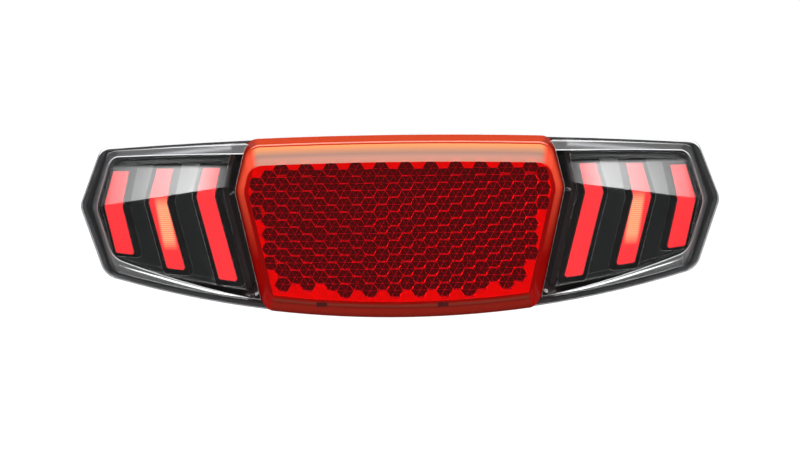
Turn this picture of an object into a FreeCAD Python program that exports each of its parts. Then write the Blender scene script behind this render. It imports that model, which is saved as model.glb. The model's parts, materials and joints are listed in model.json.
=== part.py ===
import FreeCAD
import Part
import math
import os

from FreeCAD import Vector

# Bicycle rack tail light: a clear cover with two swept wings, a red reflector lens between them,
# and a dark housing behind. Millimetres. +X right, +Z up, and the lamp shines towards -Y.
# The origin is midway between the two mounting studs, on the face that meets the rack.

# Depths, from the rack face forwards
BACK_Y = -1.2
SEAT_Y = -12.0
RIM_Y = -14.0
REACH_Y = -30.0

# Outline of the cover's flange, seen from the front
CROWN_Z = 16.9
TOP_CORNER = (56.2, 15.0)
TIP = (60.4, 3.9)
BOTTOM_CORNER = (55.9, -9.3)
KEEL_Z = -17.8
CORNER_RADII = (2.6, 3.0, 4.0)

# Rear housing
HOUSING_INSET = (0.6, 0.0, 0.0)
SEAT_WIDTH = 3.0
BACK_INSET = (3.2, 3.2, 4.5)
BACK_WALL = 2.0
SIDE_WALL = 2.0
PAD_RADIUS = 8.0
FIT_GAP = 0.05
SEAL_THICK = 0.4
SEAL_INSET = 0.9
SEAL_WIDTH = 1.5

# Mounting studs, M5 with a hexagon head held in the housing
STUD_SPACING = 80.0
STUD_RADIUS = 2.5
STUD_REACH = 14.0
STUD_CHAMFER = 0.6
THREAD_START = 0.3
SHANK_RADIUS = 2.25
HEAD_FLATS = 8.0
HEAD_HEIGHT = 3.2
SOCKET_FLATS = 11.2
SOCKET_GAP = 0.05
WASHER_THICK = 0.8

# Clear cover with a creased front on each wing, swept back towards the tip
COVER_WALL = 1.6
FLANGE_WIDTH = 0.85
COVER_DRAFT_SLOPE = (0.033, 0.16, 0.2)
BEVEL_INSET = (4.1, 5.2, 3.3)
BEVEL_SLOPE = (1.0, 1.0, 0.6)
BEVEL_REACH = (14.0, 1.0)
CREASE_ROOT = (28.0, -24.0, 8.2)
CREASE_TIP = (56.0, -18.2, 4.1)
UPPER_TILT = 14.0
LOWER_TILT = 8.0

# Red reflector lens
LENS_CROWN_Z = 16.6
LENS_TOP = (28.9, 16.1)
LENS_TIP = (31.3, 6.8)
LENS_BOTTOM = (26.2, -15.5)
LENS_KEEL_Z = -17.3
LENS_RADII = (3.0, 4.0, 2.0)
LENS_SHOULDER_Y = -23.9
LENS_FRONT_Y = -26.5
LENS_DRAFT_SLOPE = (0.09, 0.03, 0.11)
LENS_BEVEL = (3.75, 3.1, 1.4)
LENS_WALL = 2.0
LENS_GAP = 0.35
LUG_PLACES = ((-14.6, -14.1), (8.1, -14.1))
LUG_WIDTH = 2.0
LUG_SIZE = 1.2

# Cube-corner prisms on the back of the reflector lens
PRISM_FLATS = 2.66
PRISM_MARGIN = (0.6, 1.5, 1.2)
PRISM_ROOT = 0.3
BACKING_GAP = 0.3
BACKING_PLATE = 1.2
BACKING_SKIRT = 1.0

# Chevron light bars: where the outer edge of each bends, and the heights of its ends
BAR_BENDS = (37.9, 47.0, 55.5)
BAR_FEET = (-10.15, -8.05, -5.1)
BAR_HEADS = (10.8, 10.65, 10.2)
BAR_WIDTH = 3.4
BAR_LEANS_BELOW = (0.25, 0.25, 0.22)
BAR_LEAN_ABOVE = (0.27, 0.2)
BAR_BEND_DROPS = (1.1, 0.8, 0.3)
BAR_FOOT_SLOPE = 0.13
BAR_RADIUS = 0.5
BAR_GAP = 0.12
BAR_RECESS = 0.6
BAR_PLATE = 1.2

# Bezel and light box, stacked behind the cover
BEZEL_GAP = 0.3
BEZEL_SKIRT = 0.8
BEZEL_SETBACK = 2.6
BEZEL_THICK = 1.5
BEZEL_FOOT_Y = -12.2
LIP_WIDTH = 1.1
LIP_HEIGHT = 0.5
POCKET_OUTWARDS = (0.9, 0.9, 0.6)
POCKET_INWARDS = 1.5
POCKET_BELOW = (1.1, 1.1, 0.6)
POCKET_RADIUS = 1.0
POCKET_DEPTH = 0.4
BOX_INSET = (4.4, 4.4, 5.0)
BOX_WALL = 0.8
BOX_GAP = 0.35

# Circuit board and what is on it
BOARD_BACK_Y = -8.0
BOARD_THICK = 1.6
BOARD_INSET = (4.2, 4.2, 4.8)
LED_SIZE = (3.0, 3.0, 0.9)
LED_PLACES = ((36.4, 0.0), (44.2, 0.3), (51.2, 2.0))
RECTIFIER_PLACE = (-6.0, 3.5)
RECTIFIER_SIZE = (4.8, 3.8, 1.6)
DRIVER_PLACE = (6.0, 3.5)
DRIVER_SIZE = (4.0, 5.0, 1.3)
RESISTORS_X = (3.0, 6.0, 9.0)
RESISTORS_Z = -10.5
RESISTOR_SIZE = (1.2, 2.0, 0.6)
CAPACITOR_PLACE = (0.0, 4.4)
CAPACITOR_RADIUS = 6.4
CAPACITOR_SIDES = 16
CAPACITOR_HEIGHT = 4.4
POST_SIZE = 4.4
BOARD_POSTS = (13.0, 3.0)
END_POSTS = (50.5, 1.5)

# Screws that hold the cover from behind, and the ones that hold the board
COVER_SCREWS = (22.0, 0.0)
SCREW_RADIUS = 1.3
SCREW_LENGTH = 12.0
SCREW_HEAD_RADIUS = 2.6
SCREW_HEAD_HEIGHT = 1.8
SCREW_SEAT_Y = -6.0
SCREW_GAP = 0.2
SCREW_SIDES = 12
TUBE_SIZE = 7.6
TUBE_FLOOR = 1.4
BOSS_SIZE = 5.2
BOSS_FRONT_Y = -19.0
BOARD_SCREW_LENGTH = 5.0
BOARD_SCREW_RADIUS = 1.0
BOARD_SCREW_HEAD_RADIUS = 2.0
BOARD_SCREW_HEAD_HEIGHT = 1.3

# Terminals in a recess of the back
RECESS_CENTRE_Z = -8.0
RECESS_SIZE = (13.0, 8.0)
RECESS_FLOOR_Y = -6.4
RECESS_WALL = 1.3
TERMINAL_SPACING = 6.4
TERMINAL_RISE = 1.6
TERMINAL_WIDTH = 2.8
TERMINAL_THICK = 0.5
TERMINAL_END_Y = -1.8

# Breathing plug in the back
VENT_PLACE = (-28.0, -7.5)
VENT_STEM_RADIUS = 1.6
VENT_CAP_RADIUS = 3.2
VENT_CAP_THICK = 0.7
VENT_CAP_SIDES = 24

# How far a cut runs past a face, how far a joined piece is sunk, the size of whatever is
# larger than the lamp, and how close two points are the same
SIDES = (1, -1)
BEYOND = 5.0
SUNK = 0.5
FAR = 200.0
SAME = 0.001


class Outline:
    """A six-sided front view with a bowed top and bottom and a pointed end at each side."""

    def __init__(self, crown, top, tip, bottom, keel, radii):
        self.crown = crown
        self.top = top
        self.tip = tip
        self.bottom = bottom
        self.keel = keel
        self.radii = radii
        rise = crown - top[1]
        drop = bottom[1] - keel
        self.top_radius = (top[0] ** 2 + rise**2) / (2 * rise)
        self.bottom_radius = (bottom[0] ** 2 + drop**2) / (2 * drop)

    def inset(self, above, below, end):
        """The same outline with its top, its bottom and both its end sides moved in."""
        upper = shifted_line(self.top, self.tip, end)
        lower = shifted_line(self.tip, self.bottom, end)
        crown = self.crown - above
        keel = self.keel + below
        top = line_meets_bow(upper, crown, self.top_radius - above, 1)
        bottom = line_meets_bow(lower, keel, self.bottom_radius - below, -1)
        return Outline(crown, top, lines_meet(upper, lower), bottom, keel, self.radii)

    def corner(self, index, radius):
        """Centre, first and last point and middle of the arc that rounds a right-hand corner."""
        inner = self.inset(radius, radius, radius)
        centre = (inner.top, inner.tip, inner.bottom)[index]
        ends = []
        for side in (index, index + 1):
            if side == 0:
                ends.append(point_on_bow(centre, self.crown - self.top_radius, self.top_radius))
            elif side == 3:
                ends.append(point_on_bow(centre, self.keel + self.bottom_radius, self.bottom_radius))
            else:
                line = ((self.top, self.tip), (self.tip, self.bottom))[side - 1]
                ends.append(foot_on_line(centre, *line))
        middle = arc_middle(centre, ends[0], ends[1], radius)
        return ends[0], middle, ends[1]

    def sharp(self):
        """The same outline with plain corners, for pieces inside."""
        return Outline(self.crown, self.top, self.tip, self.bottom, self.keel, None)

    def wire(self, y):
        """The outline as a wire at depth y."""
        if self.radii is None:
            arcs = [(p, None, p) for p in (self.top, self.tip, self.bottom)]
        else:
            arcs = [self.corner(i, self.radii[i]) for i in range(3)]
        ring = arcs + [mirrored_arc(arc) for arc in reversed(arcs)]
        bows = {2: (0, self.keel), 5: (0, self.crown)}
        edges = []
        for i, arc in enumerate(ring):
            if arc[1] is not None:
                edges.append(arc_edge(arc, y))
            start = arc[2]
            end = ring[(i + 1) % 6][0]
            if i in bows:
                edges.append(arc_edge((start, bows[i], end), y))
            else:
                edges.append(Part.LineSegment(at(start, y), at(end, y)).toShape())
        return Part.Wire(edges)


def mirrored_arc(arc):
    return tuple(None if point is None else (-point[0], point[1]) for point in reversed(arc))


def at(point, y):
    return Vector(point[0], y, point[1])


def arc_edge(points, y):
    return Part.Arc(*[at(p, y) for p in points]).toShape()


def shifted_line(a, b, inset):
    """The line from a to b moved by inset towards its right-hand side, as two points."""
    run = (b[0] - a[0], b[1] - a[1])
    length = math.hypot(*run)
    step = (run[1] / length * inset, -run[0] / length * inset)
    return (a[0] + step[0], a[1] + step[1]), (b[0] + step[0], b[1] + step[1])


def lines_meet(first, second):
    (x1, z1), (x2, z2) = first
    (x3, z3), (x4, z4) = second
    cross = (x1 - x2) * (z3 - z4) - (z1 - z2) * (x3 - x4)
    a = x1 * z2 - z1 * x2
    b = x3 * z4 - z3 * x4
    return (a * (x3 - x4) - (x1 - x2) * b) / cross, (a * (z3 - z4) - (z1 - z2) * b) / cross


def line_meets_bow(line, apex, radius, side):
    """Where a line meets the bow with that apex, on the right. side is 1 for the top, -1 for the bottom."""
    (x1, z1), (x2, z2) = line
    centre = apex - side * radius
    dx, dz = x2 - x1, z2 - z1
    a = dx * dx + dz * dz
    b = 2 * (x1 * dx + (z1 - centre) * dz)
    c = x1 * x1 + (z1 - centre) ** 2 - radius * radius
    root = math.sqrt(b * b - 4 * a * c)
    options = [(-b + s * root) / (2 * a) for s in (1, -1)]
    points = [(x1 + t * dx, z1 + t * dz) for t in options]
    return min(points, key=lambda p: abs(p[1] - apex))


def point_on_bow(centre, bow_centre, radius):
    dx, dz = centre[0], centre[1] - bow_centre
    length = math.hypot(dx, dz)
    return dx / length * radius, bow_centre + dz / length * radius


def foot_on_line(point, a, b):
    dx, dz = b[0] - a[0], b[1] - a[1]
    t = ((point[0] - a[0]) * dx + (point[1] - a[1]) * dz) / (dx * dx + dz * dz)
    return a[0] + t * dx, a[1] + t * dz


def arc_middle(centre, start, end, radius):
    mx = (start[0] + end[0]) / 2 - centre[0]
    mz = (start[1] + end[1]) / 2 - centre[1]
    length = math.hypot(mx, mz)
    return centre[0] + mx / length * radius, centre[1] + mz / length * radius


def wider(amounts, extra):
    return tuple(a + extra for a in amounts)


def loft(*wires):
    return Part.makeLoft(list(wires), True, True)


def prism(outline, start, end):
    """A straight solid with the outline, from depth start to depth end."""
    return Part.Face(outline.wire(start)).extrude(Vector(0, end - start, 0))


def tapered(outline, start, end, inset, draft, zero):
    """A solid whose outline is inset, and drafted forwards from the depth called zero."""
    wires = []
    for y in (start, end):
        steps = [i + d * (zero - y) for i, d in zip(inset, draft)]
        wires.append(outline.inset(*steps).wire(y))
    return loft(*wires)


def peg(x, z, radius, start, end):
    """A round peg along Y from depth start to depth end."""
    return Part.makeCylinder(radius, abs(end - start), Vector(x, start, z), Vector(0, end - start, 0))


def block(x, z, width, height, start, end):
    """A box centred on x and z, from depth start forwards to depth end."""
    low = min(start, end)
    return Part.makeBox(width, abs(end - start), height, Vector(x - width / 2, low, z - height / 2))


def polygon(x, z, sides, flats, start, end):
    """A straight bar with the given number of sides, flats apart across them, along Y."""
    corner = flats / 2 / math.cos(math.pi / sides)
    points = []
    for i in range(sides + 1):
        turn = 2 * math.pi * i / sides
        points.append(Vector(x + corner * math.cos(turn), start, z + corner * math.sin(turn)))
    return Part.Face(Part.makePolygon(points)).extrude(Vector(0, end - start, 0))


def hexagon(x, z, flats, start, end):
    return polygon(x, z, 6, flats, start, end)


def front_part(y):
    """Everything in front of depth y."""
    return block(0, 0, FAR, FAR, y, y - FAR)


def right_half(y):
    """Everything on the right and in front of depth y."""
    return block(FAR / 2, 0, FAR, FAR, y, REACH_Y)


def mirrored(shape):
    return shape.mirror(Vector(0, 0, 0), Vector(1, 0, 0))


def both_sides(shape):
    return [shape, mirrored(shape)]


def join(first, others):
    return first.fuse(list(others)).removeSplitter()


def group(shapes):
    return Part.makeCompound(list(shapes))


BODY = Outline(CROWN_Z, TOP_CORNER, TIP, BOTTOM_CORNER, KEEL_Z, CORNER_RADII)
LENS = Outline(LENS_CROWN_Z, LENS_TOP, LENS_TIP, LENS_BOTTOM, LENS_KEEL_Z, LENS_RADII)
INNER_BODY = BODY.sharp()
INNER_LENS = LENS.sharp()
COVER_INSET = (FLANGE_WIDTH,) * 3
SEAL_Y = SEAT_Y + SEAL_THICK
BOARD_FRONT_Y = BOARD_BACK_Y - BOARD_THICK
INNER_BACK_Y = BACK_Y - BACK_WALL
HEAD_SEAT_Y = INNER_BACK_Y - WASHER_THICK
CAVITY_FRONT_Y = LENS_FRONT_Y + LENS_WALL
STUD_X = STUD_SPACING / 2
PRISM_STEP = PRISM_FLATS / math.sqrt(6)
TERMINAL_Z = RECESS_CENTRE_Z + TERMINAL_RISE


def crease_height(x):
    run = (x - CREASE_ROOT[0]) / (CREASE_TIP[0] - CREASE_ROOT[0])
    return CREASE_ROOT[2] + run * (CREASE_TIP[2] - CREASE_ROOT[2])


def wing_front(setback):
    """What lies behind the two front facets of the right wing, once they are set back."""
    root = Vector(*CREASE_ROOT)
    along = Vector(*CREASE_TIP) - root
    result = None
    for slope in (Vector(0, math.tan(math.radians(UPPER_TILT)), 1),
                  Vector(0, math.tan(math.radians(LOWER_TILT)), -1)):
        outwards = along.cross(slope).normalize()
        if outwards.y > 0:
            outwards = outwards * -1
        turn = FreeCAD.Rotation(Vector(0, 0, 1), outwards)
        corner = root - outwards * (FAR + setback) - turn.multVec(Vector(FAR / 2, FAR / 2, 0))
        half = Part.makeBox(FAR, FAR, FAR)
        half.Placement = FreeCAD.Placement(corner, turn)
        result = half if result is None else result.common(half)
    return result


def lens_block(clearance, start=RIM_Y, outline=LENS):
    """The room that the reflector lens takes, with a clearance round it."""
    return tapered(outline, start, REACH_Y, (-clearance,) * 3, LENS_DRAFT_SLOPE, RIM_Y)


def wing_form(inset, setback, body=BODY, lens=LENS):
    """The inside of the right wing, inset from the cover's outer face and set back from its front."""
    form = tapered(body, SEAT_Y, REACH_Y, wider(COVER_INSET, inset), COVER_DRAFT_SLOPE, SEAT_Y)
    form = form.common(wing_front(setback))
    form = form.common(right_half(SEAT_Y))
    return form.cut(lens_block(LENS_GAP + inset, SEAT_Y + BEYOND, lens))


def rear_housing():
    seat = BODY.inset(*HOUSING_INSET)
    outer = loft(seat.wire(SEAL_Y), BODY.inset(*BACK_INSET).wire(BACK_Y))
    for x in (STUD_X, -STUD_X):
        outer = outer.fuse(peg(x, 0, PAD_RADIUS, 0, INNER_BACK_Y))
    floor = INNER_BODY.inset(*wider(BACK_INSET, SIDE_WALL)).wire(INNER_BACK_Y)
    cavity = loft(INNER_BODY.inset(SEAT_WIDTH, SEAT_WIDTH, SEAT_WIDTH).wire(SEAL_Y), floor)
    shell = outer.cut(cavity)
    inside = []
    holes = []
    for side in SIDES:
        x, z = COVER_SCREWS
        inside.append(block(side * x, z, TUBE_SIZE, TUBE_SIZE, INNER_BACK_Y, SCREW_SEAT_Y - TUBE_FLOOR))
        inside.append(block(side * x, z, BOSS_SIZE, BOSS_SIZE, INNER_BACK_Y, SEAT_Y))
        holes.append(peg(side * x, z, SCREW_HEAD_RADIUS + SCREW_GAP, BEYOND, SCREW_SEAT_Y))
        holes.append(peg(side * x, z, SCREW_RADIUS + SCREW_GAP, BEYOND, SEAT_Y - BEYOND))
        for x, z in (BOARD_POSTS, END_POSTS):
            inside.append(block(side * x, z, POST_SIZE, POST_SIZE, INNER_BACK_Y, BOARD_BACK_Y))
        x, z = BOARD_POSTS
        end = BOARD_FRONT_Y + BOARD_SCREW_LENGTH
        holes.append(polygon(side * x, z, SCREW_SIDES, 2 * BOARD_SCREW_RADIUS, BOARD_BACK_Y, end))
        inside.append(hexagon(side * STUD_X, 0, SOCKET_FLATS, INNER_BACK_Y, HEAD_SEAT_Y - HEAD_HEIGHT))
        holes.append(hexagon(side * STUD_X, 0, HEAD_FLATS + 2 * SOCKET_GAP, INNER_BACK_Y, SEAT_Y))
        holes.append(peg(side * STUD_X, 0, STUD_RADIUS + SOCKET_GAP, BEYOND, SEAT_Y))
    width, height = RECESS_SIZE
    wall = 2 * RECESS_WALL
    recess_back = RECESS_FLOOR_Y - RECESS_WALL
    inside.append(block(0, RECESS_CENTRE_Z, width + wall, height + wall, INNER_BACK_Y, recess_back))
    holes.append(block(0, RECESS_CENTRE_Z, width, height, BEYOND, RECESS_FLOOR_Y))
    for side in SIDES:
        x = side * TERMINAL_SPACING / 2
        slot = (TERMINAL_WIDTH + FIT_GAP, TERMINAL_THICK + FIT_GAP)
        holes.append(block(x, TERMINAL_Z, slot[0], slot[1], RECESS_FLOOR_Y + BEYOND, BOARD_BACK_Y))
    x, z = VENT_PLACE
    holes.append(peg(x, z, VENT_STEM_RADIUS, BEYOND, INNER_BACK_Y - BEYOND))
    return shell.fuse(inside).cut(holes).removeSplitter()


def seal_ring():
    """A flat seal between the housing's seat and the cover's foot."""
    outside = (SEAL_INSET,) * 3
    inside = INNER_BODY.inset(*wider(outside, SEAL_WIDTH))
    return prism(INNER_BODY.inset(*outside), SEAL_Y, SEAT_Y).cut(prism(inside, SEAL_Y, SEAT_Y))


def clear_cover():
    """A flat flange all round, with a hollow wing standing on it at each side of the lens."""
    wing = tapered(BODY, SEAT_Y, REACH_Y, COVER_INSET, COVER_DRAFT_SLOPE, SEAT_Y)
    wing = wing.common(wing_front(0)).common(bevel_form()).common(right_half(SEAT_Y - SUNK))
    wing = wing.cut(lens_block(LENS_GAP))
    outer = prism(BODY, SEAT_Y, RIM_Y).fuse(both_sides(wing))
    cavity = wing_form(COVER_WALL, COVER_WALL, INNER_BODY, INNER_LENS)
    bosses = []
    holes = []
    for side in SIDES:
        x, z = COVER_SCREWS
        bosses.append(block(side * x, z, BOSS_SIZE, BOSS_SIZE, SEAT_Y - SUNK, BOSS_FRONT_Y))
        end = SCREW_SEAT_Y - SCREW_LENGTH - FIT_GAP
        holes.append(polygon(side * x, z, SCREW_SIDES, 2 * SCREW_RADIUS, SEAT_Y, end))
    return outer.cut(both_sides(cavity)).fuse(bosses).cut(holes).removeSplitter()


def bevel_form():
    """Slopes that break the edge round the right wing's front, turned to follow its sweep."""
    tip = Vector(*CREASE_TIP)
    run = tip - Vector(*CREASE_ROOT)
    wires = []
    for y in (tip.y + BEVEL_REACH[0], tip.y - BEVEL_REACH[1]):
        steps = [i - t * (y - tip.y) for i, t in zip(BEVEL_INSET, BEVEL_SLOPE)]
        wires.append(BODY.inset(*steps).wire(y))
    form = loft(*wires)
    form.rotate(tip, Vector(0, 0, 1), math.degrees(math.atan2(run.y, run.x)))
    return form


def reflector_lens():
    steps = [d * (RIM_Y - LENS_SHOULDER_Y) for d in LENS_DRAFT_SLOPE]
    shoulder = LENS.inset(*steps)
    front = LENS.inset(*[s + b for s, b in zip(steps, LENS_BEVEL)])
    outer = loft(LENS.wire(RIM_Y), shoulder.wire(LENS_SHOULDER_Y))
    outer = outer.fuse(loft(shoulder.wire(LENS_SHOULDER_Y), front.wire(LENS_FRONT_Y)))
    cavity = tapered(INNER_LENS, RIM_Y, CAVITY_FRONT_Y, (LENS_WALL,) * 3, LENS_DRAFT_SLOPE, RIM_Y)
    lens = outer.cut(cavity)
    extras = [prism_field(front)]
    for x, z in LUG_PLACES:
        extras.append(block(x, z, LUG_WIDTH, LUG_SIZE, CAVITY_FRONT_Y - SUNK, CAVITY_FRONT_Y + LUG_SIZE))
    return lens.fuse(extras).removeSplitter()


def prism_field(front):
    """Hexagonal cube-corner prisms side by side, as one solid sunk a little into the lens."""
    side = PRISM_FLATS / math.sqrt(3)
    area = Part.Face(front.inset(*PRISM_MARGIN).wire(0))
    cells = []
    columns = int(LENS_TIP[0] / (1.5 * side)) + 1
    rows = int(LENS_CROWN_Z / PRISM_FLATS) + 2
    for column in range(-columns, columns + 1):
        x = (column + 0.5) * 1.5 * side
        for row in range(-rows, rows + 1):
            z = (row + (column % 2) / 2) * PRISM_FLATS
            if area.isInside(Vector(x, 0, z), SAME, True):
                cells.append((x, z))
    return prism_solid(cells, side)


def prism_solid(cells, side):
    base_y = CAVITY_FRONT_Y - PRISM_ROOT
    faces = []
    rim = {}
    for x, z in cells:
        corners = []
        for i in range(6):
            turn = math.radians(60 * i)
            height = PRISM_STEP * (1 - i % 2)
            corner = (x + side * math.cos(turn), z + side * math.sin(turn))
            corners.append(at(corner, CAVITY_FRONT_Y + height))
        apex = Vector(x, CAVITY_FRONT_Y + 2 * PRISM_STEP, z)
        for i in (0, 2, 4):
            square = [apex, corners[i], corners[i + 1], corners[(i + 2) % 6], apex]
            faces.append(Part.Face(Part.makePolygon(square)))
        for i in range(6):
            a, b = corners[i], corners[(i + 1) % 6]
            key = frozenset((spot(a), spot(b)))
            if key in rim:
                del rim[key]
            else:
                rim[key] = (a, b)
    sides = []
    for a, b in rim.values():
        low_a = Vector(a.x, base_y, a.z)
        low_b = Vector(b.x, base_y, b.z)
        faces.append(Part.Face(Part.makePolygon([a, b, low_b, low_a, a])))
        sides.append(Part.makeLine(low_a, low_b))
    for loop in Part.sortEdges(sides):
        faces.append(Part.Face(Part.Wire(loop)))
    shell = Part.Shell(faces)
    shell.sewShape()
    solid = Part.Solid(shell)
    if solid.Volume < 0:
        solid.reverse()
    return solid


def spot(point):
    return round(point.x, 3), round(point.z, 3)


def lens_backing():
    """A white plate behind the prisms, on a skirt that stands on the cover."""
    plate_y = CAVITY_FRONT_Y + 2 * PRISM_STEP + BACKING_GAP
    outside = LENS_WALL + FIT_GAP
    outer = tapered(INNER_LENS, RIM_Y, plate_y, (outside,) * 3, LENS_DRAFT_SLOPE, RIM_Y)
    inside = outside + BACKING_SKIRT
    inner = tapered(INNER_LENS, RIM_Y, plate_y + BACKING_PLATE, (inside,) * 3, LENS_DRAFT_SLOPE, RIM_Y)
    return outer.cut(inner)


def chevron(index, outwards=0.0, inwards=0.0, below=0.0, radius=BAR_RADIUS):
    """One light bar seen from the front, widened as asked, as a solid through the wing's whole depth."""
    bend_z = crease_height(BAR_BENDS[index]) - BAR_BEND_DROPS[index]
    head_z = BAR_HEADS[index] + min(outwards, inwards)
    foot_z = BAR_FEET[index] - below
    sides = []
    outer_lean, inner_lean = BAR_LEAN_ABOVE
    for shift, fall, lean in ((outwards, 1, outer_lean), (-BAR_WIDTH - inwards, -1, inner_lean)):
        bend_x = BAR_BENDS[index] + shift
        end_z = foot_z + fall * BAR_FOOT_SLOPE * BAR_WIDTH / 2
        head_x = bend_x - (head_z - bend_z) * lean
        foot_x = bend_x - (bend_z - end_z) * BAR_LEANS_BELOW[index]
        sides.append([(head_x, head_z), (bend_x, bend_z), (foot_x, end_z)])
    ring = sides[0] + sides[1][::-1]
    points = [at(p, SEAT_Y) for p in ring + ring[:1]]
    solid = Part.Face(Part.makePolygon(points)).extrude(Vector(0, REACH_Y - SEAT_Y, 0))
    feet = (ring[2], ring[3])
    edges = []
    for edge in solid.Edges:
        a, b = edge.Vertexes[0].Point, edge.Vertexes[-1].Point
        if abs(a.y - b.y) > BEYOND and any(math.hypot(a.x - x, a.z - z) < SAME for x, z in feet):
            edges.append(edge)
    return solid.makeFillet(radius, edges)


def wing_bezel():
    """A black mask with a raised lip round it and a shallow pocket round each bar."""
    edge = COVER_WALL + BEZEL_GAP
    outer = wing_form(edge, BEZEL_SETBACK)
    inner = wing_form(edge + BEZEL_SKIRT, BEZEL_SETBACK + BEZEL_THICK, INNER_BODY, INNER_LENS)
    face = wing_form(edge + LIP_WIDTH, BEZEL_SETBACK - SUNK).cut(wing_front(BEZEL_SETBACK + LIP_HEIGHT))
    bezel = outer.cut([inner, face]).common(front_part(BEZEL_FOOT_Y))
    shallow = wing_front(BEZEL_SETBACK + LIP_HEIGHT + POCKET_DEPTH)
    for i in range(len(BAR_BENDS)):
        pocket = chevron(i, POCKET_OUTWARDS[i], POCKET_INWARDS, POCKET_BELOW[i], POCKET_RADIUS)
        bezel = bezel.cut([pocket.cut(shallow), chevron(i, BAR_GAP, BAR_GAP, BAR_GAP)])
    return bezel


def wing_diffuser():
    """Three light bars on one plate."""
    back = BEZEL_SETBACK + BEZEL_THICK
    inset = COVER_WALL + BEZEL_GAP + BEZEL_SKIRT + FIT_GAP
    plate = wing_form(inset, back, INNER_BODY, INNER_LENS).cut(wing_front(back + BAR_PLATE))
    bars = []
    for i in range(len(BAR_BENDS)):
        bar = chevron(i).common(wing_front(BEZEL_SETBACK + BAR_RECESS))
        bars.append(bar.cut(wing_front(back + BAR_PLATE / 2)))
    return join(plate, bars)


def wing_box():
    """White walls that keep the light of one wing together between the board and the bars."""
    inset = LENS_GAP + COVER_WALL + BEZEL_GAP + BEZEL_SKIRT + BOX_GAP
    rims = []
    for step in (0, BOX_WALL):
        rim = prism(INNER_BODY.inset(*wider(BOX_INSET, step)), BOARD_FRONT_Y, REACH_Y)
        lens_side = INNER_LENS.inset(*wider((-inset,) * 3, -step))
        rim = rim.common(right_half(BOARD_FRONT_Y))
        rims.append(rim.cut(prism(lens_side, SEAT_Y + BEYOND, REACH_Y - BEYOND)))
    return rims[0].cut(rims[1]).common(wing_front(BEZEL_SETBACK + BEZEL_THICK + BAR_PLATE))


def wing_leds():
    return group(board_chip(place, LED_SIZE) for place in LED_PLACES)


def circuit_board():
    board = prism(INNER_BODY.inset(*BOARD_INSET), BOARD_BACK_Y, BOARD_FRONT_Y)
    holes = []
    for side in SIDES:
        x, z = COVER_SCREWS
        holes.append(block(side * x, z, BOSS_SIZE + 2 * SCREW_GAP, BOSS_SIZE + 2 * SCREW_GAP, SEAT_Y, 0))
        x, z = BOARD_POSTS
        holes.append(hexagon(side * x, z, 2 * (BOARD_SCREW_RADIUS + SCREW_GAP), SEAT_Y, 0))
    return board.cut(holes)


def screw(x, z, seat, length, radius, head_radius, head_height):
    """A screw driven forwards or backwards from its seat, by the sign of its length."""
    shank = polygon(x, z, SCREW_SIDES, 2 * radius, seat, seat - length)
    back = head_height if length > 0 else -head_height
    head = polygon(x, z, SCREW_SIDES, 2 * head_radius, seat, seat + back)
    return join(shank, [head])


def cover_screws():
    x, z = COVER_SCREWS
    return group(screw(side * x, z, SCREW_SEAT_Y, SCREW_LENGTH, SCREW_RADIUS, SCREW_HEAD_RADIUS,
                       SCREW_HEAD_HEIGHT) for side in SIDES)


def board_screws():
    x, z = BOARD_POSTS
    return group(screw(side * x, z, BOARD_FRONT_Y, -BOARD_SCREW_LENGTH, BOARD_SCREW_RADIUS,
                       BOARD_SCREW_HEAD_RADIUS, BOARD_SCREW_HEAD_HEIGHT) for side in SIDES)


def stud(side):
    """A stud whose plain shank, inside the wall, is as thin as the root of its thread."""
    x = side * STUD_X
    chamfer_y = STUD_REACH - STUD_CHAMFER
    head = hexagon(x, 0, HEAD_FLATS, HEAD_SEAT_Y, HEAD_SEAT_Y - HEAD_HEIGHT)
    shank = peg(x, 0, SHANK_RADIUS, HEAD_SEAT_Y, THREAD_START)
    thread = peg(x, 0, STUD_RADIUS, THREAD_START, chamfer_y)
    tip = Vector(x, chamfer_y, 0)
    end = Part.makeCone(STUD_RADIUS, STUD_RADIUS - STUD_CHAMFER, STUD_CHAMFER, tip, Vector(0, 1, 0))
    return join(head, [shank, thread, end])


def stud_washers():
    rings = []
    for side in SIDES:
        ring = hexagon(side * STUD_X, 0, HEAD_FLATS, INNER_BACK_Y, HEAD_SEAT_Y)
        hole = hexagon(side * STUD_X, 0, 2 * STUD_RADIUS, INNER_BACK_Y, HEAD_SEAT_Y)
        rings.append(ring.cut(hole))
    return group(rings)


def terminals():
    return group(block(side * TERMINAL_SPACING / 2, TERMINAL_Z, TERMINAL_WIDTH, TERMINAL_THICK,
                       BOARD_BACK_Y, TERMINAL_END_Y) for side in SIDES)


def storage_capacitor():
    x, z = CAPACITOR_PLACE
    size = 2 * CAPACITOR_RADIUS
    return polygon(x, z, CAPACITOR_SIDES, size, BOARD_BACK_Y, BOARD_BACK_Y + CAPACITOR_HEIGHT)


def board_chip(place, size):
    """A package soldered to the front of the board: its width, height and thickness are the size."""
    return block(*place, size[0], size[1], BOARD_FRONT_Y, BOARD_FRONT_Y - size[2])


def resistors():
    return group(board_chip((side * x, RESISTORS_Z), RESISTOR_SIZE) for side in SIDES for x in RESISTORS_X)


def vent_plug():
    x, z = VENT_PLACE
    stem = peg(x, z, VENT_STEM_RADIUS, BACK_Y, INNER_BACK_Y - SUNK)
    cap = polygon(x, z, VENT_CAP_SIDES, 2 * VENT_CAP_RADIUS, BACK_Y, BACK_Y + VENT_CAP_THICK)
    return join(stem, [cap])


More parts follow.
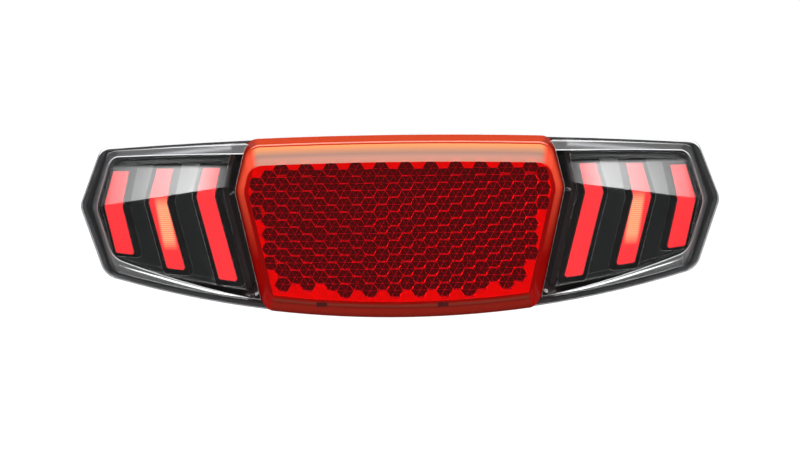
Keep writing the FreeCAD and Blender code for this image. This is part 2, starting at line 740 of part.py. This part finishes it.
def build():
    bezel = wing_bezel()
    diffuser = wing_diffuser()
    box = wing_box()
    leds = wing_leds()
    return {
        "rear_housing": rear_housing(),
        "rim_seal": seal_ring(),
        "clear_cover": clear_cover(),
        "reflector_lens": reflector_lens(),
        "reflector_backing": lens_backing(),
        "right_bezel": bezel,
        "left_bezel": mirrored(bezel),
        "right_diffuser": diffuser,
        "left_diffuser": mirrored(diffuser),
        "right_light_box": box,
        "left_light_box": mirrored(box),
        "right_leds": leds,
        "left_leds": mirrored(leds),
        "circuit_board": circuit_board(),
        "storage_capacitor": storage_capacitor(),
        "rectifier": board_chip(RECTIFIER_PLACE, RECTIFIER_SIZE),
        "driver_chip": board_chip(DRIVER_PLACE, DRIVER_SIZE),
        "resistors": resistors(),
        "terminals": terminals(),
        "cover_screws": cover_screws(),
        "board_screws": board_screws(),
        "right_stud": stud(1),
        "left_stud": stud(-1),
        "stud_washers": stud_washers(),
        "vent_plug": vent_plug(),
    }


os.makedirs("parts", exist_ok=True)
for name, shape in build().items():
    shape.exportStep("parts/" + name + ".step")
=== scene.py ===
import json
import math

import bmesh
import bpy
from mathutils import Matrix, Vector


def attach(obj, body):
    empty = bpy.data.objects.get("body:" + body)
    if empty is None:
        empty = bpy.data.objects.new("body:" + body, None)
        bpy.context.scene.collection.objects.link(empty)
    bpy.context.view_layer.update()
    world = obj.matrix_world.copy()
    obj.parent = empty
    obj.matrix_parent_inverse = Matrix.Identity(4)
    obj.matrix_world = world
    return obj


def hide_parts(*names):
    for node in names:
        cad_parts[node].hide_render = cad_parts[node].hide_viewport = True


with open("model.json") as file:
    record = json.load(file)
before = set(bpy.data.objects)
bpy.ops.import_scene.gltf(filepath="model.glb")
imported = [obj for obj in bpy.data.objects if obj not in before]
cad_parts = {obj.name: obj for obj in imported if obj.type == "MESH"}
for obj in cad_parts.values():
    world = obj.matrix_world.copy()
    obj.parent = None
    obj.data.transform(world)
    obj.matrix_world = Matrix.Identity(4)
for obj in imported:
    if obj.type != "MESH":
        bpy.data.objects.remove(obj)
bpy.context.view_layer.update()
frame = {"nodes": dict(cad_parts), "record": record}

# A bicycle rack tail light. Metres, in the CAD frame: +X right, +Z up, and the light shines to -Y.
MM = 0.001
SAME = 0.02

# Camera and framing: distance in metres, angles in degrees, sensor in millimetres
PHOTO_WIDTH = 800
PIXEL = 0.1874 * MM
TARGET = Vector((-0.06, -18.0, -0.2)) * MM
CAMERA_DISTANCE = 0.5
CAMERA_ELEVATION = 3.5
CAMERA_ROLL = 0.7
SENSOR = 36.0

# Floor and rear lamp, in metres
FLOOR_Z = -0.2
FLOOR_RADIUS = 0.35
REAR_BOX_PLACE = (0, 0.8, 0.45)
REAR_BOX_SIZE = (0.9, 0.5)
REAR_BOX_RADIANCE = 1.5

# World: the room, the backdrop and the soft panels. Places and soft borders are in degrees,
# sideways from -Y to either side and upwards from the level.
ROOM = 0.08
BACKDROP = 1.0
BACKDROP_STEEPNESS = 4
FRONT_SIDES = (-4.0, 28.0)
FRONT_HEIGHTS = (14.0, 58.0)
FRONT_SOFT = (3.0, 3.0)
FRONT_RADIANCE = 6.5
STRIP_SIDES = (32.6, 36.2)
STRIP_SOFT_SIDES = (0.8, 2.8)
STRIP_END = 35.4
STRIP_END_STEEPNESS = 8
STRIP_HEIGHTS = (14.0, 28.25)
STRIP_SOFT_HEIGHTS = (3.0, 0.08)
STRIP_SLANT = 0.137
STRIP_RADIANCE = 8.0
ABOVE_FROM = 62.0
ABOVE_RADIANCE = 3.0
BELOW_FROM = -45.0
BELOW_RADIANCE = 1.2
PANEL_SOFT = 4.0

# Materials in general
ACRYLIC_IOR = 1.49
NOISE_DETAIL = 4.0
ROUGHNESS_SPREAD = 0.08

# Reflector lens: places in millimetres, and how the normals of its rim and foot lie along Y
LENS_FACE_Y = -26.5
LENS_FOOT_Y = -14.0
LENS_RIM_FACING = (-0.98, -0.005)
LENS_FOOT_FACING = 0.98
LENS_RED = (0.9, 0.012, 0.02)
LENS_SHADOW = (0.95, 0.12, 0.06)
# Painted glow on the inside of the lens's rim
LENS_INSIDE_PAINTED_GLOW = (0.24, 0.012, 0.004)

# Prisms: places in millimetres, and what share of the full width their lines have: level ones and
# slanted ones that rise from their feet, and all others
PRISM_FOOT_Y = -24.5
PRISM_TOP_Y = -22.2
# Colour of the prisms' eased edges, which paints highlight lines on them
PRISM_EDGE_HIGHLIGHT = (0.5, 0.02, 0.4)
PRISM_LINES = (1.0, 0.22, 0.28)

# Tones of the painted reflections, highlights, glow and shade in bands across the lens's bevels
# and walls
SALMON = (0.47, 0.24, 0.18)
GREY_BROWN = (0.31, 0.19, 0.15)
PEACH = (0.72, 0.27, 0.1)
DEEP_RED = (0.4, 0.01, 0.0)
PINK = (0.95, 0.28, 0.2)
ORANGE_RED = (0.38, 0.025, 0.0)
DULL_RED = (0.21, 0.002, 0.0)
UMBER = (0.15, 0.025, 0.015)
DARK_RED = (0.13, 0.007, 0.003)
RUST = (0.22, 0.012, 0.006)
CLEAR_RED = (0.55, 0.02, 0.01)
BRIGHT_ORANGE = (0.8, 0.075, 0.035)
SHADED_RED = (0.25, 0.015, 0.006)

# Lens rim: the painted bands of reflection, highlight, glow and shade by the share of the lens's
# depth, high up, low down and at the sides, and the heights between which they blend, in
# millimetres
LENS_RIM_GLOW = 0.95
LENS_RIM_HEIGHTS = (2.0, 13.5)
PAINTED_HIGH_RIM = (
    (0.0, SALMON),
    (0.05, SALMON),
    (0.09, GREY_BROWN),
    (0.17, PEACH),
    (0.18, PEACH),
    (0.184, DEEP_RED),
    (0.194, DEEP_RED),
    (0.198, PINK),
    (0.208, PINK),
    (0.212, ORANGE_RED),
)
PAINTED_LOW_RIM = (
    (0.0, DULL_RED),
    (0.03, DULL_RED),
    (0.045, UMBER),
    (0.065, UMBER),
    (0.08, DARK_RED),
    (0.1, RUST),
    (0.15, RUST),
    (0.2, DARK_RED),
)
SIDE_RIM_HEIGHTS = (-6.0, 8.0)
PAINTED_SIDE_RIM = (
    (0.0, CLEAR_RED),
    (0.03, BRIGHT_ORANGE),
    (0.12, BRIGHT_ORANGE),
    (0.25, SHADED_RED),
)
# Painted shade low down on the side walls
PAINTED_SIDE_SHADE = (0.3, 0.003, 0.002)
SIDEWAYS_FROM = 0.15
SIDEWAYS_STEEPNESS = 4

# Painted shade where the two lugs show through the lower bevel, in millimetres
LUG_PLACES = ((-14.7, -14.3), (7.75, -14.5))
LUG_HALF = (1.15, 0.6)
LUG_STEEPNESS = (3, 4)
LUG_SHADE_TONE = (0.02, 0.008, 0.008)

# Cover: places in millimetres, limits for the normals of its faces, and what share of the full
# width the lines round the wings' fronts and all others have
FLANGE_FRONT_Y = -14.0
FLANGE_TOP_Z = 14.0
WING_FOOT_Y = -15.0
WING_ROOT_FROM = 26.0
WING_TIP_FROM = 50.0
TIP_SIDEWAYS = 0.45
SLOPE_UPWARDS = 0.3
SLOPE_FACING = -0.1
WING_FACING = -0.5
# Pale colour of the cover's eased edges, which paints highlight lines on them
COVER_EDGE_HIGHLIGHT = (0.7, 0.71, 0.72)
COVER_LINES = (1.0, 0.35)

# Bezel: where the wing's crease starts, how far the pocket floors lie behind the wing's front, and
# the limit for the normals of faces that look forward
CREASE_ROOT = (28.0, -24.0, 8.2)
POCKET_SETBACK = 3.5
FRONT_FACING = -0.7

# Light bars: colours, and the hot spot's place, half size and lean in millimetres
BAR_BODY = (0.2, 0.008, 0.01)
BAR_GLOW = (0.88, 0.012, 0.018)
BAR_RIB_GLOW = (0.95, 0.035, 0.042)
BAR_HOT_GLOW = (0.92, 0.56, 0.28)
BAR_WARM_GLOW = (0.86, 0.25, 0.12)
BAR_LEAN = 0.16
HOT_SPOT = (43.9, 0.7)
HOT_SPOT_HALF = (1.5, 5.2)
HOT_SPOT_STEEPNESS = (1.6, 1.5)
RIB_PITCH = 0.385

# Meshes: angles in degrees, and widths in metres
DOUBLES_WITHIN = 0.4e-6
FLAT_WITHIN = 0.05
SHARP_FROM = 24.0
SHARP_ANGLES = {"clear_cover": 18.0, "left_bezel": 18.0, "right_bezel": 18.0}
EASED_FROM = 28.0
EASED_SEGMENTS = 2
EASED_EDGES = {
    "clear_cover": 0.3 * MM,
    "reflector_lens": 0.17 * MM,
    "left_bezel": 0.18 * MM,
    "right_bezel": 0.18 * MM,
}
EDGE_MATERIAL = 2


class Value:
    """A node's output that takes part in sums."""

    def __init__(self, shader, socket):
        self.shader = shader
        self.socket = socket

    def maths(self, operation, *others):
        inputs = dict(enumerate((self, *others)))
        return self.shader.add("ShaderNodeMath", {"operation": operation}, inputs)

    def __add__(self, other):
        return self.maths("ADD", other)

    def __mul__(self, other):
        return self.maths("MULTIPLY", other)

    def __sub__(self, other):
        return self.maths("SUBTRACT", other)

    def __rsub__(self, other):
        return self * -1 + other

    def __truediv__(self, other):
        return self.maths("DIVIDE", other)

    def clamped(self):
        return self.maths("MAXIMUM", 0).maths("MINIMUM", 1)


class Shader:
    """A material or world whose nodes are added one by one."""

    def __init__(self, owner):
        owner.use_nodes = True
        self.owner = owner
        self.tree = owner.node_tree
        self.tree.nodes.clear()

    def add(self, kind, settings=None, inputs=None, output=0):
        node = self.tree.nodes.new(kind)
        for name, value in (settings or {}).items():
            if name == "stops":
                self.set_stops(node.color_ramp, value)
            else:
                setattr(node, name, value)
        for name, value in (inputs or {}).items():
            if isinstance(value, Value):
                self.tree.links.new(value.socket, node.inputs[name])
            else:
                node.inputs[name].default_value = value
        return Value(self, node.outputs[output])

    def set_stops(self, ramp, stops):
        while len(ramp.elements) < len(stops):
            ramp.elements.new(1.0)
        for element, (place, colour) in zip(ramp.elements, stops):
            element.position = place
            element.color = rgba(colour)

    def finish(self, surface, kind="ShaderNodeOutputMaterial"):
        node = self.tree.nodes.new(kind)
        self.tree.links.new(surface.socket, node.inputs["Surface"])
        return self.owner


def new_shader(name):
    return Shader(bpy.data.materials.new(name))


def rgba(colour):
    return (*colour, 1.0)


def mixed(shader, share, first, second):
    """The first colour where the share is 0, and the second where it is 1."""
    inputs = {0: share, 6: first, 7: second}
    return shader.add("ShaderNodeMix", {"data_type": "RGBA"}, inputs, output=2)


def graded(shader, stops, share):
    return shader.add("ShaderNodeValToRGB", {"stops": stops}, {0: share})


def share_of(value, start, end):
    """How far a value has come from the start to the end."""
    return (value - start) / (end - start)


def between(value, limits, softness):
    """How far a value lies within two limits, which are softened inwards."""
    low = ((value - limits[0]) / softness[0]).clamped()
    return low * ((limits[1] - value) / softness[1]).clamped()


def object_place(shader, axis):
    """One of the object's own coordinates, in millimetres."""
    place = shader.add("ShaderNodeTexCoord", output="Object")
    return shader.add("ShaderNodeSeparateXYZ", {}, {0: place}, output=axis) * (1 / MM)


def mottled(shader, colour, spread, scale):
    """The colour with faint lighter and darker patches, and the noise that makes them."""
    place = shader.add("ShaderNodeTexCoord", output="Object")
    noise = shader.add("ShaderNodeTexNoise", {}, {
        "Vector": place, "Scale": scale, "Detail": NOISE_DETAIL})
    dark = rgba([c * (1 - spread) for c in colour])
    light = rgba([min(1, c * (1 + spread)) for c in colour])
    return mixed(shader, noise, dark, light), noise


def plain_material(name, colour, roughness, metallic=0.0, spread=0.12, scale=400.0, shine=0.5):
    shader = new_shader(name)
    tint, noise = mottled(shader, colour, spread, scale)
    return shader.finish(shader.add("ShaderNodeBsdfPrincipled", {}, {
        "Base Color": tint,
        "Roughness": noise * ROUGHNESS_SPREAD + (roughness - ROUGHNESS_SPREAD / 2),
        "Metallic": metallic,
        "Specular IOR Level": shine,
    }))


def acrylic(shader, colour, roughness=0.0):
    return shader.add("ShaderNodeBsdfPrincipled", {}, {
        "Base Color": colour,
        "Roughness": roughness,
        "IOR": ACRYLIC_IOR,
        "Transmission Weight": 1.0,
    })


def let_lamps_through(shader, body, shadow_tint):
    """The body, which casts only a tinted shadow."""
    through = shader.add("ShaderNodeBsdfTransparent", {}, {"Color": rgba(shadow_tint)})
    shadow = shader.add("ShaderNodeLightPath", output="Is Shadow Ray")
    return shader.add("ShaderNodeMixShader", {}, {0: shadow, 1: body, 2: through})


def clear_plastic(name, colour, shadow_tint, roughness=0.0):
    """Moulded clear acrylic that lets the lamps through."""
    shader = new_shader(name)
    tint, _ = mottled(shader, colour, spread=0.01, scale=300.0)
    return shader.finish(let_lamps_through(shader, acrylic(shader, tint, roughness), shadow_tint))


def red_lens(name):
    """Transparent red acrylic."""
    shader = new_shader(name)
    return shader.finish(let_lamps_through(shader, acrylic(shader, rgba(LENS_RED)), LENS_SHADOW))


def painted_lug_shade(shader):
    """Painted shade where the two dark lugs show through the lower bevel."""
    across, height = object_place(shader, "X"), object_place(shader, "Z")
    shown = 0.0
    for x, z in LUG_PLACES:
        beside = LUG_HALF[0] - (across - x).maths("ABSOLUTE")
        below = LUG_HALF[1] - (height - z).maths("ABSOLUTE")
        mark_across = (beside * LUG_STEEPNESS[0]).clamped()
        shown = mark_across * (below * LUG_STEEPNESS[1]).clamped() + shown
    return shown


def painted_lens_rim(name):
    """The bevels and side walls of the lens, painted with bands of reflection, highlight, glow and
    shade, and with a painted glow on their inside.
    """
    shader = new_shader(name)
    depth = share_of(object_place(shader, "Y"), LENS_FACE_Y, LENS_FOOT_Y)
    height = share_of(object_place(shader, "Z"), *LENS_RIM_HEIGHTS).clamped()
    side_height = share_of(object_place(shader, "Z"), *SIDE_RIM_HEIGHTS).clamped()
    level = mixed(shader, height, graded(shader, PAINTED_LOW_RIM, depth), graded(shader, PAINTED_HIGH_RIM, depth))
    side = mixed(shader, side_height, rgba(PAINTED_SIDE_SHADE), graded(shader, PAINTED_SIDE_RIM, depth))
    facing = shader.add("ShaderNodeNewGeometry", output="Normal")
    sideways = shader.add("ShaderNodeSeparateXYZ", {}, {0: facing}, output="X").maths("ABSOLUTE")
    at_side = ((sideways - SIDEWAYS_FROM) * SIDEWAYS_STEEPNESS).clamped()
    colour = mixed(shader, at_side, level, side)
    colour = mixed(shader, painted_lug_shade(shader), colour, rgba(LUG_SHADE_TONE))
    inside = shader.add("ShaderNodeNewGeometry", output="Backfacing")
    painted_rim = shader.add("ShaderNodeBsdfPrincipled", {}, {
        "Base Color": colour,
        "Roughness": 0.2,
        "Specular IOR Level": 0.0,
        "Emission Color": mixed(shader, inside, rgba((0, 0, 0)), rgba(LENS_INSIDE_PAINTED_GLOW)),
        "Emission Strength": 1.0,
    })
    clear = acrylic(shader, rgba(LENS_RED))
    body = shader.add("ShaderNodeMixShader", {}, {0: LENS_RIM_GLOW, 1: clear, 2: painted_rim})
    return shader.finish(let_lamps_through(shader, body, LENS_SHADOW))


def glowing_bar(name):
    """A light bar with fine ribs across it, and warmer where a lamp sits behind it."""
    shader = new_shader(name)
    side = object_place(shader, "X").maths("ABSOLUTE")
    height = object_place(shader, "Z")
    middle = (height - HOT_SPOT[1]) * BAR_LEAN + HOT_SPOT[0]
    off_line = (side - middle).maths("ABSOLUTE")
    off_lamp = (height - HOT_SPOT[1]).maths("ABSOLUTE") / HOT_SPOT_HALF[1]
    hot_across = ((HOT_SPOT_HALF[0] - off_line) * HOT_SPOT_STEEPNESS[0]).clamped()
    hot_along = ((1.0 - off_lamp * off_lamp) * HOT_SPOT_STEEPNESS[1]).clamped()
    ribs = (height * (2 * math.pi / RIB_PITCH)).maths("SINE") * 0.5 + 0.5
    cool = mixed(shader, ribs, rgba(BAR_GLOW), rgba(BAR_RIB_GLOW))
    warm = mixed(shader, ribs, rgba(BAR_WARM_GLOW), rgba(BAR_HOT_GLOW))
    return shader.finish(shader.add("ShaderNodeBsdfPrincipled", {}, {
        "Base Color": rgba(BAR_BODY),
        "Roughness": 0.3,
        "Emission Color": mixed(shader, hot_across * hot_along, cool, warm),
        "Emission Strength": 1.0,
    }))


def make_body_materials():
    """Each slot's material."""
    return {
        "housing_black": plain_material("housing_plastic", (0.03, 0.031, 0.034), 0.38),
        "cover_clear": clear_plastic("cover_acrylic", (0.985, 0.99, 0.99), (0.95, 0.95, 0.95)),
        "lens_red": red_lens("lens_acrylic"),
        "bezel_black": plain_material("bezel_gloss", (0.009, 0.01, 0.01), 0.08),
        "bar_red": plain_material("bar_body", BAR_BODY, 0.3),
        "white_plastic": plain_material("white_backing", (0.85, 0.85, 0.84), 0.45),
        "led_body": plain_material("led_package", (0.9, 0.8, 0.45), 0.4),
        "board_black": plain_material("solder_mask", (0.012, 0.013, 0.014), 0.3),
        "capacitor_sleeve": plain_material("capacitor_sleeve", (0.04, 0.05, 0.16), 0.3),
        "chip_black": plain_material("chip_resin", (0.02, 0.02, 0.02), 0.5),
        "terminal_brass": plain_material("tinned_brass", (0.75, 0.68, 0.5), 0.25, metallic=1.0),
        "screw_steel": plain_material("zinc_plate", (0.6, 0.6, 0.61), 0.3, metallic=1.0),
        "stud_steel": plain_material("stainless", (0.6, 0.6, 0.6), 0.25, metallic=1.0),
        "seal_rubber": plain_material("soft_rubber", (0.02, 0.02, 0.02), 0.7),
    }


def make_marked_materials():
    """The materials of the faces that MARKED_FACES picks out."""
    return {
        "bar_red": glowing_bar("bar_glow"),
        "lens_red": painted_lens_rim("painted_lens_rim"),
        "bezel_black": plain_material("pocket_floor", (0.003, 0.003, 0.003), 0.7, shine=0.1),
        # The cover's ends and upper slopes: acrylic tinted nearly black as painted shade, with a
        # fine grain
        "cover_clear": clear_plastic("cover_end_painted_shade", (0.04, 0.04, 0.045), (0.9, 0.9, 0.9), 0.3),
    }


def make_edge_materials():
    """The materials of eased edges, whose colours paint highlight lines on them."""
    return {
        "lens_red": plain_material("prism_edge_highlight", PRISM_EDGE_HIGHLIGHT, 0.3),
        # Pale colour on the black bezel's eased edges: painted highlight lines
        "bezel_black": plain_material("bezel_edge_highlight", (0.85, 0.85, 0.86), 0.3),
        "cover_clear": plain_material("cover_edge_highlight", COVER_EDGE_HIGHLIGHT, 0.2),
    }


def prism_line(edge):
    """The share of the full width that an edge of a prism is eased by."""
    ends = sorted((vertex.co.y / MM, vertex.co.z / MM) for vertex in edge.verts)
    (front, one), (back, other) = ends
    if front < PRISM_FOOT_Y - SAME or back > PRISM_TOP_Y or back - front < SAME:
        return 0.0
    if front > PRISM_FOOT_Y + SAME:
        return PRISM_LINES[2]
    return PRISM_LINES[0] if abs(one - other) < SAME else PRISM_LINES[1]


def cover_line(edge):
    """The share of the full width that a sharp outer edge of the cover is eased by."""
    if not edge.is_convex or len(edge.link_faces) != 2:
        return 0.0
    if edge.calc_face_angle() < math.radians(EASED_FROM):
        return 0.0
    on_flange = all(vertex.co.y / MM > FLANGE_FRONT_Y - SAME for vertex in edge.verts)
    if on_flange and min(vertex.co.z / MM for vertex in edge.verts) < FLANGE_TOP_Z:
        return 0.0
    round_front = all(face.normal.y < WING_FACING for face in edge.link_faces)
    return COVER_LINES[0] if round_front else COVER_LINES[1]


def is_cover_end(face):
    """The walls and slopes at the wing tips and the slopes above the wings, in painted shade, with
    a fine grain.
    """
    centre = face.calc_center_median() / MM
    tip = abs(face.normal.x) > TIP_SIDEWAYS and abs(centre.x) > WING_TIP_FROM
    slope = face.normal.z > SLOPE_UPWARDS and face.normal.y < SLOPE_FACING
    return tip or slope and centre.y < WING_FOOT_Y and abs(centre.x) > WING_ROOT_FROM


def is_bar_front(face):
    """The front faces of the light bars, which stand proud of their plate."""
    return face.normal.y < FRONT_FACING and all(edge.is_convex for edge in face.edges)


def is_lens_rim(face):
    """The lens's bevels and side walls, and the foot that its walls stand on."""
    foot = face.normal.y > LENS_FOOT_FACING
    foot = foot and face.calc_center_median().y / MM > LENS_FOOT_Y - SAME
    return foot or LENS_RIM_FACING[0] < face.normal.y < LENS_RIM_FACING[1]


def is_pocket_floor(face):
    """The floors of the pockets round the bars, by how far they lie behind the wing's front."""
    centre = face.calc_center_median() / MM
    root = Vector((math.copysign(CREASE_ROOT[0], centre.x), *CREASE_ROOT[1:]))
    setback = face.normal.dot(root - centre)
    return face.normal.y < FRONT_FACING and abs(setback - POCKET_SETBACK) < SAME


LINED_EDGES = {"reflector_lens": prism_line, "clear_cover": cover_line}
MARKED_FACES = {
    "bar_red": is_bar_front,
    "lens_red": is_lens_rim,
    "bezel_black": is_pocket_floor,
    "cover_clear": is_cover_end,
}


def refined(node):
    """A smooth-shaded copy of a CAD node, with its doubles merged and its edges eased if asked."""
    mesh = frame["nodes"][node].data.copy()
    form = bmesh.new()
    form.from_mesh(mesh)
    bmesh.ops.remove_doubles(form, verts=form.verts, dist=DOUBLES_WITHIN)
    bmesh.ops.dissolve_limit(form, angle_limit=math.radians(FLAT_WITHIN), verts=form.verts,
                             edges=form.edges)
    if node in LINED_EDGES:
        weight = form.edges.layers.float.new("bevel_weight_edge")
        for edge in form.edges:
            edge[weight] = LINED_EDGES[node](edge)
    form.to_mesh(mesh)
    form.free()
    mesh.attributes.remove(mesh.attributes["custom_normal"])
    piece = bpy.data.objects.new("shown_" + node, mesh)
    bpy.context.scene.collection.objects.link(piece)
    if node in EASED_EDGES:
        ease = piece.modifiers.new("ease", "BEVEL")
        ease.width = EASED_EDGES[node]
        ease.segments = EASED_SEGMENTS
        ease.limit_method = "WEIGHT" if node in LINED_EDGES else "ANGLE"
        ease.angle_limit = math.radians(EASED_FROM)
        ease.harden_normals = True
        ease.material = EDGE_MATERIAL
    for polygon in mesh.polygons:
        polygon.use_smooth = True
    mesh.set_sharp_from_angle(angle=math.radians(SHARP_ANGLES.get(node, SHARP_FROM)))
    return piece


def mark(mesh, belongs):
    """Gives a mesh's second material to the faces that belong."""
    form = bmesh.new()
    form.from_mesh(mesh)
    for face in form.faces:
        face.material_index = int(belongs(face))
    form.to_mesh(mesh)
    form.free()


def dress(bodies, marked, edges):
    """Gives each node its slot's material, and its other ones to marked faces and eased edges."""
    slots = {part["node"]: part["material_slot"] for part in frame["record"]["subparts"]}
    for node, slot in slots.items():
        piece = refined(node)
        piece.data.materials.clear()
        for materials in (bodies, marked, edges):
            piece.data.materials.append(materials.get(slot, bodies[slot]))
        if slot in MARKED_FACES:
            mark(piece.data, MARKED_FACES[slot])
        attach(piece, "root")
        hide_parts(node)


def make_rear_box():
    """A soft lamp above and behind the light, aimed at the origin."""
    width, height = REAR_BOX_SIZE
    lamp = bpy.data.lights.new("rear_box", "AREA")
    lamp.shape = "RECTANGLE"
    lamp.size = width
    lamp.size_y = height
    lamp.energy = REAR_BOX_RADIANCE * math.pi * width * height
    holder = bpy.data.objects.new("rear_box", lamp)
    bpy.context.scene.collection.objects.link(holder)
    holder.location = REAR_BOX_PLACE
    holder.rotation_euler = (-Vector(REAR_BOX_PLACE)).to_track_quat("-Z", "Y").to_euler()


def make_world():
    """A white backdrop behind the light, and a dark room with soft panels in front of it."""
    world = Shader(bpy.data.worlds.new("studio"))
    bpy.context.scene.world = world.owner
    direction = world.add("ShaderNodeTexCoord", output="Generated")
    x, y, z = [world.add("ShaderNodeSeparateXYZ", {}, {0: direction}, output=i) for i in "XYZ"]
    degrees = 180 / math.pi
    sideways = x.maths("ARCTAN2", y * -1).maths("ABSOLUTE") * degrees
    upwards = z.maths("ARCSINE") * degrees
    slanted = upwards + sideways * STRIP_SLANT
    behind = (y * BACKDROP_STEEPNESS + 0.5).clamped() * BACKDROP
    strip = between(sideways, STRIP_SIDES, STRIP_SOFT_SIDES)
    strip = strip * between(slanted, STRIP_HEIGHTS, STRIP_SOFT_HEIGHTS)
    strip = strip * ((STRIP_END - sideways) * STRIP_END_STEEPNESS).clamped()
    panel = between(sideways, FRONT_SIDES, FRONT_SOFT)
    panel = panel * between(upwards, FRONT_HEIGHTS, FRONT_SOFT)
    front = strip * STRIP_RADIANCE + panel * FRONT_RADIANCE
    above = ((upwards - ABOVE_FROM) / PANEL_SOFT).clamped() * ABOVE_RADIANCE
    below = ((BELOW_FROM - upwards) / PANEL_SOFT).clamped() * BELOW_RADIANCE
    seen = world.add("ShaderNodeLightPath", output="Is Camera Ray")
    level = (behind + front + above + below + ROOM).maths("MAXIMUM", seen)
    surface = world.add("ShaderNodeBackground", {}, {"Color": (1, 1, 1, 1), "Strength": level})
    world.finish(surface, "ShaderNodeOutputWorld")


def make_floor():
    mesh = bpy.data.meshes.new("floor")
    form = bmesh.new()
    bmesh.ops.create_circle(form, cap_ends=True, segments=64, radius=FLOOR_RADIUS)
    form.to_mesh(mesh)
    form.free()
    mesh.materials.append(plain_material("pale_floor", (0.8, 0.8, 0.8), 0.6, spread=0.01))
    floor = bpy.data.objects.new("floor", mesh)
    floor.location = (0, 0, FLOOR_Z)
    bpy.context.scene.collection.objects.link(floor)


def make_camera():
    data = bpy.data.cameras.new("camera")
    data.sensor_width = SENSOR
    data.lens = SENSOR * CAMERA_DISTANCE / (PHOTO_WIDTH * PIXEL)
    data.clip_start = 0.01
    data.clip_end = 10
    camera = bpy.data.objects.new("camera", data)
    bpy.context.scene.collection.objects.link(camera)
    lift = math.radians(CAMERA_ELEVATION)
    back = Vector((0, -math.cos(lift), math.sin(lift)))
    camera.location = TARGET + back * CAMERA_DISTANCE
    turn = (-back).to_track_quat("-Z", "Y").to_matrix().to_4x4()
    roll = Matrix.Rotation(math.radians(-CAMERA_ROLL), 4, "Z")
    camera.matrix_world = Matrix.Translation(camera.location) @ turn @ roll
    bpy.context.scene.camera = camera


dress(make_body_materials(), make_marked_materials(), make_edge_materials())
make_rear_box()
make_world()
make_floor()
make_camera()
bpy.context.scene.view_settings.view_transform = "Standard"
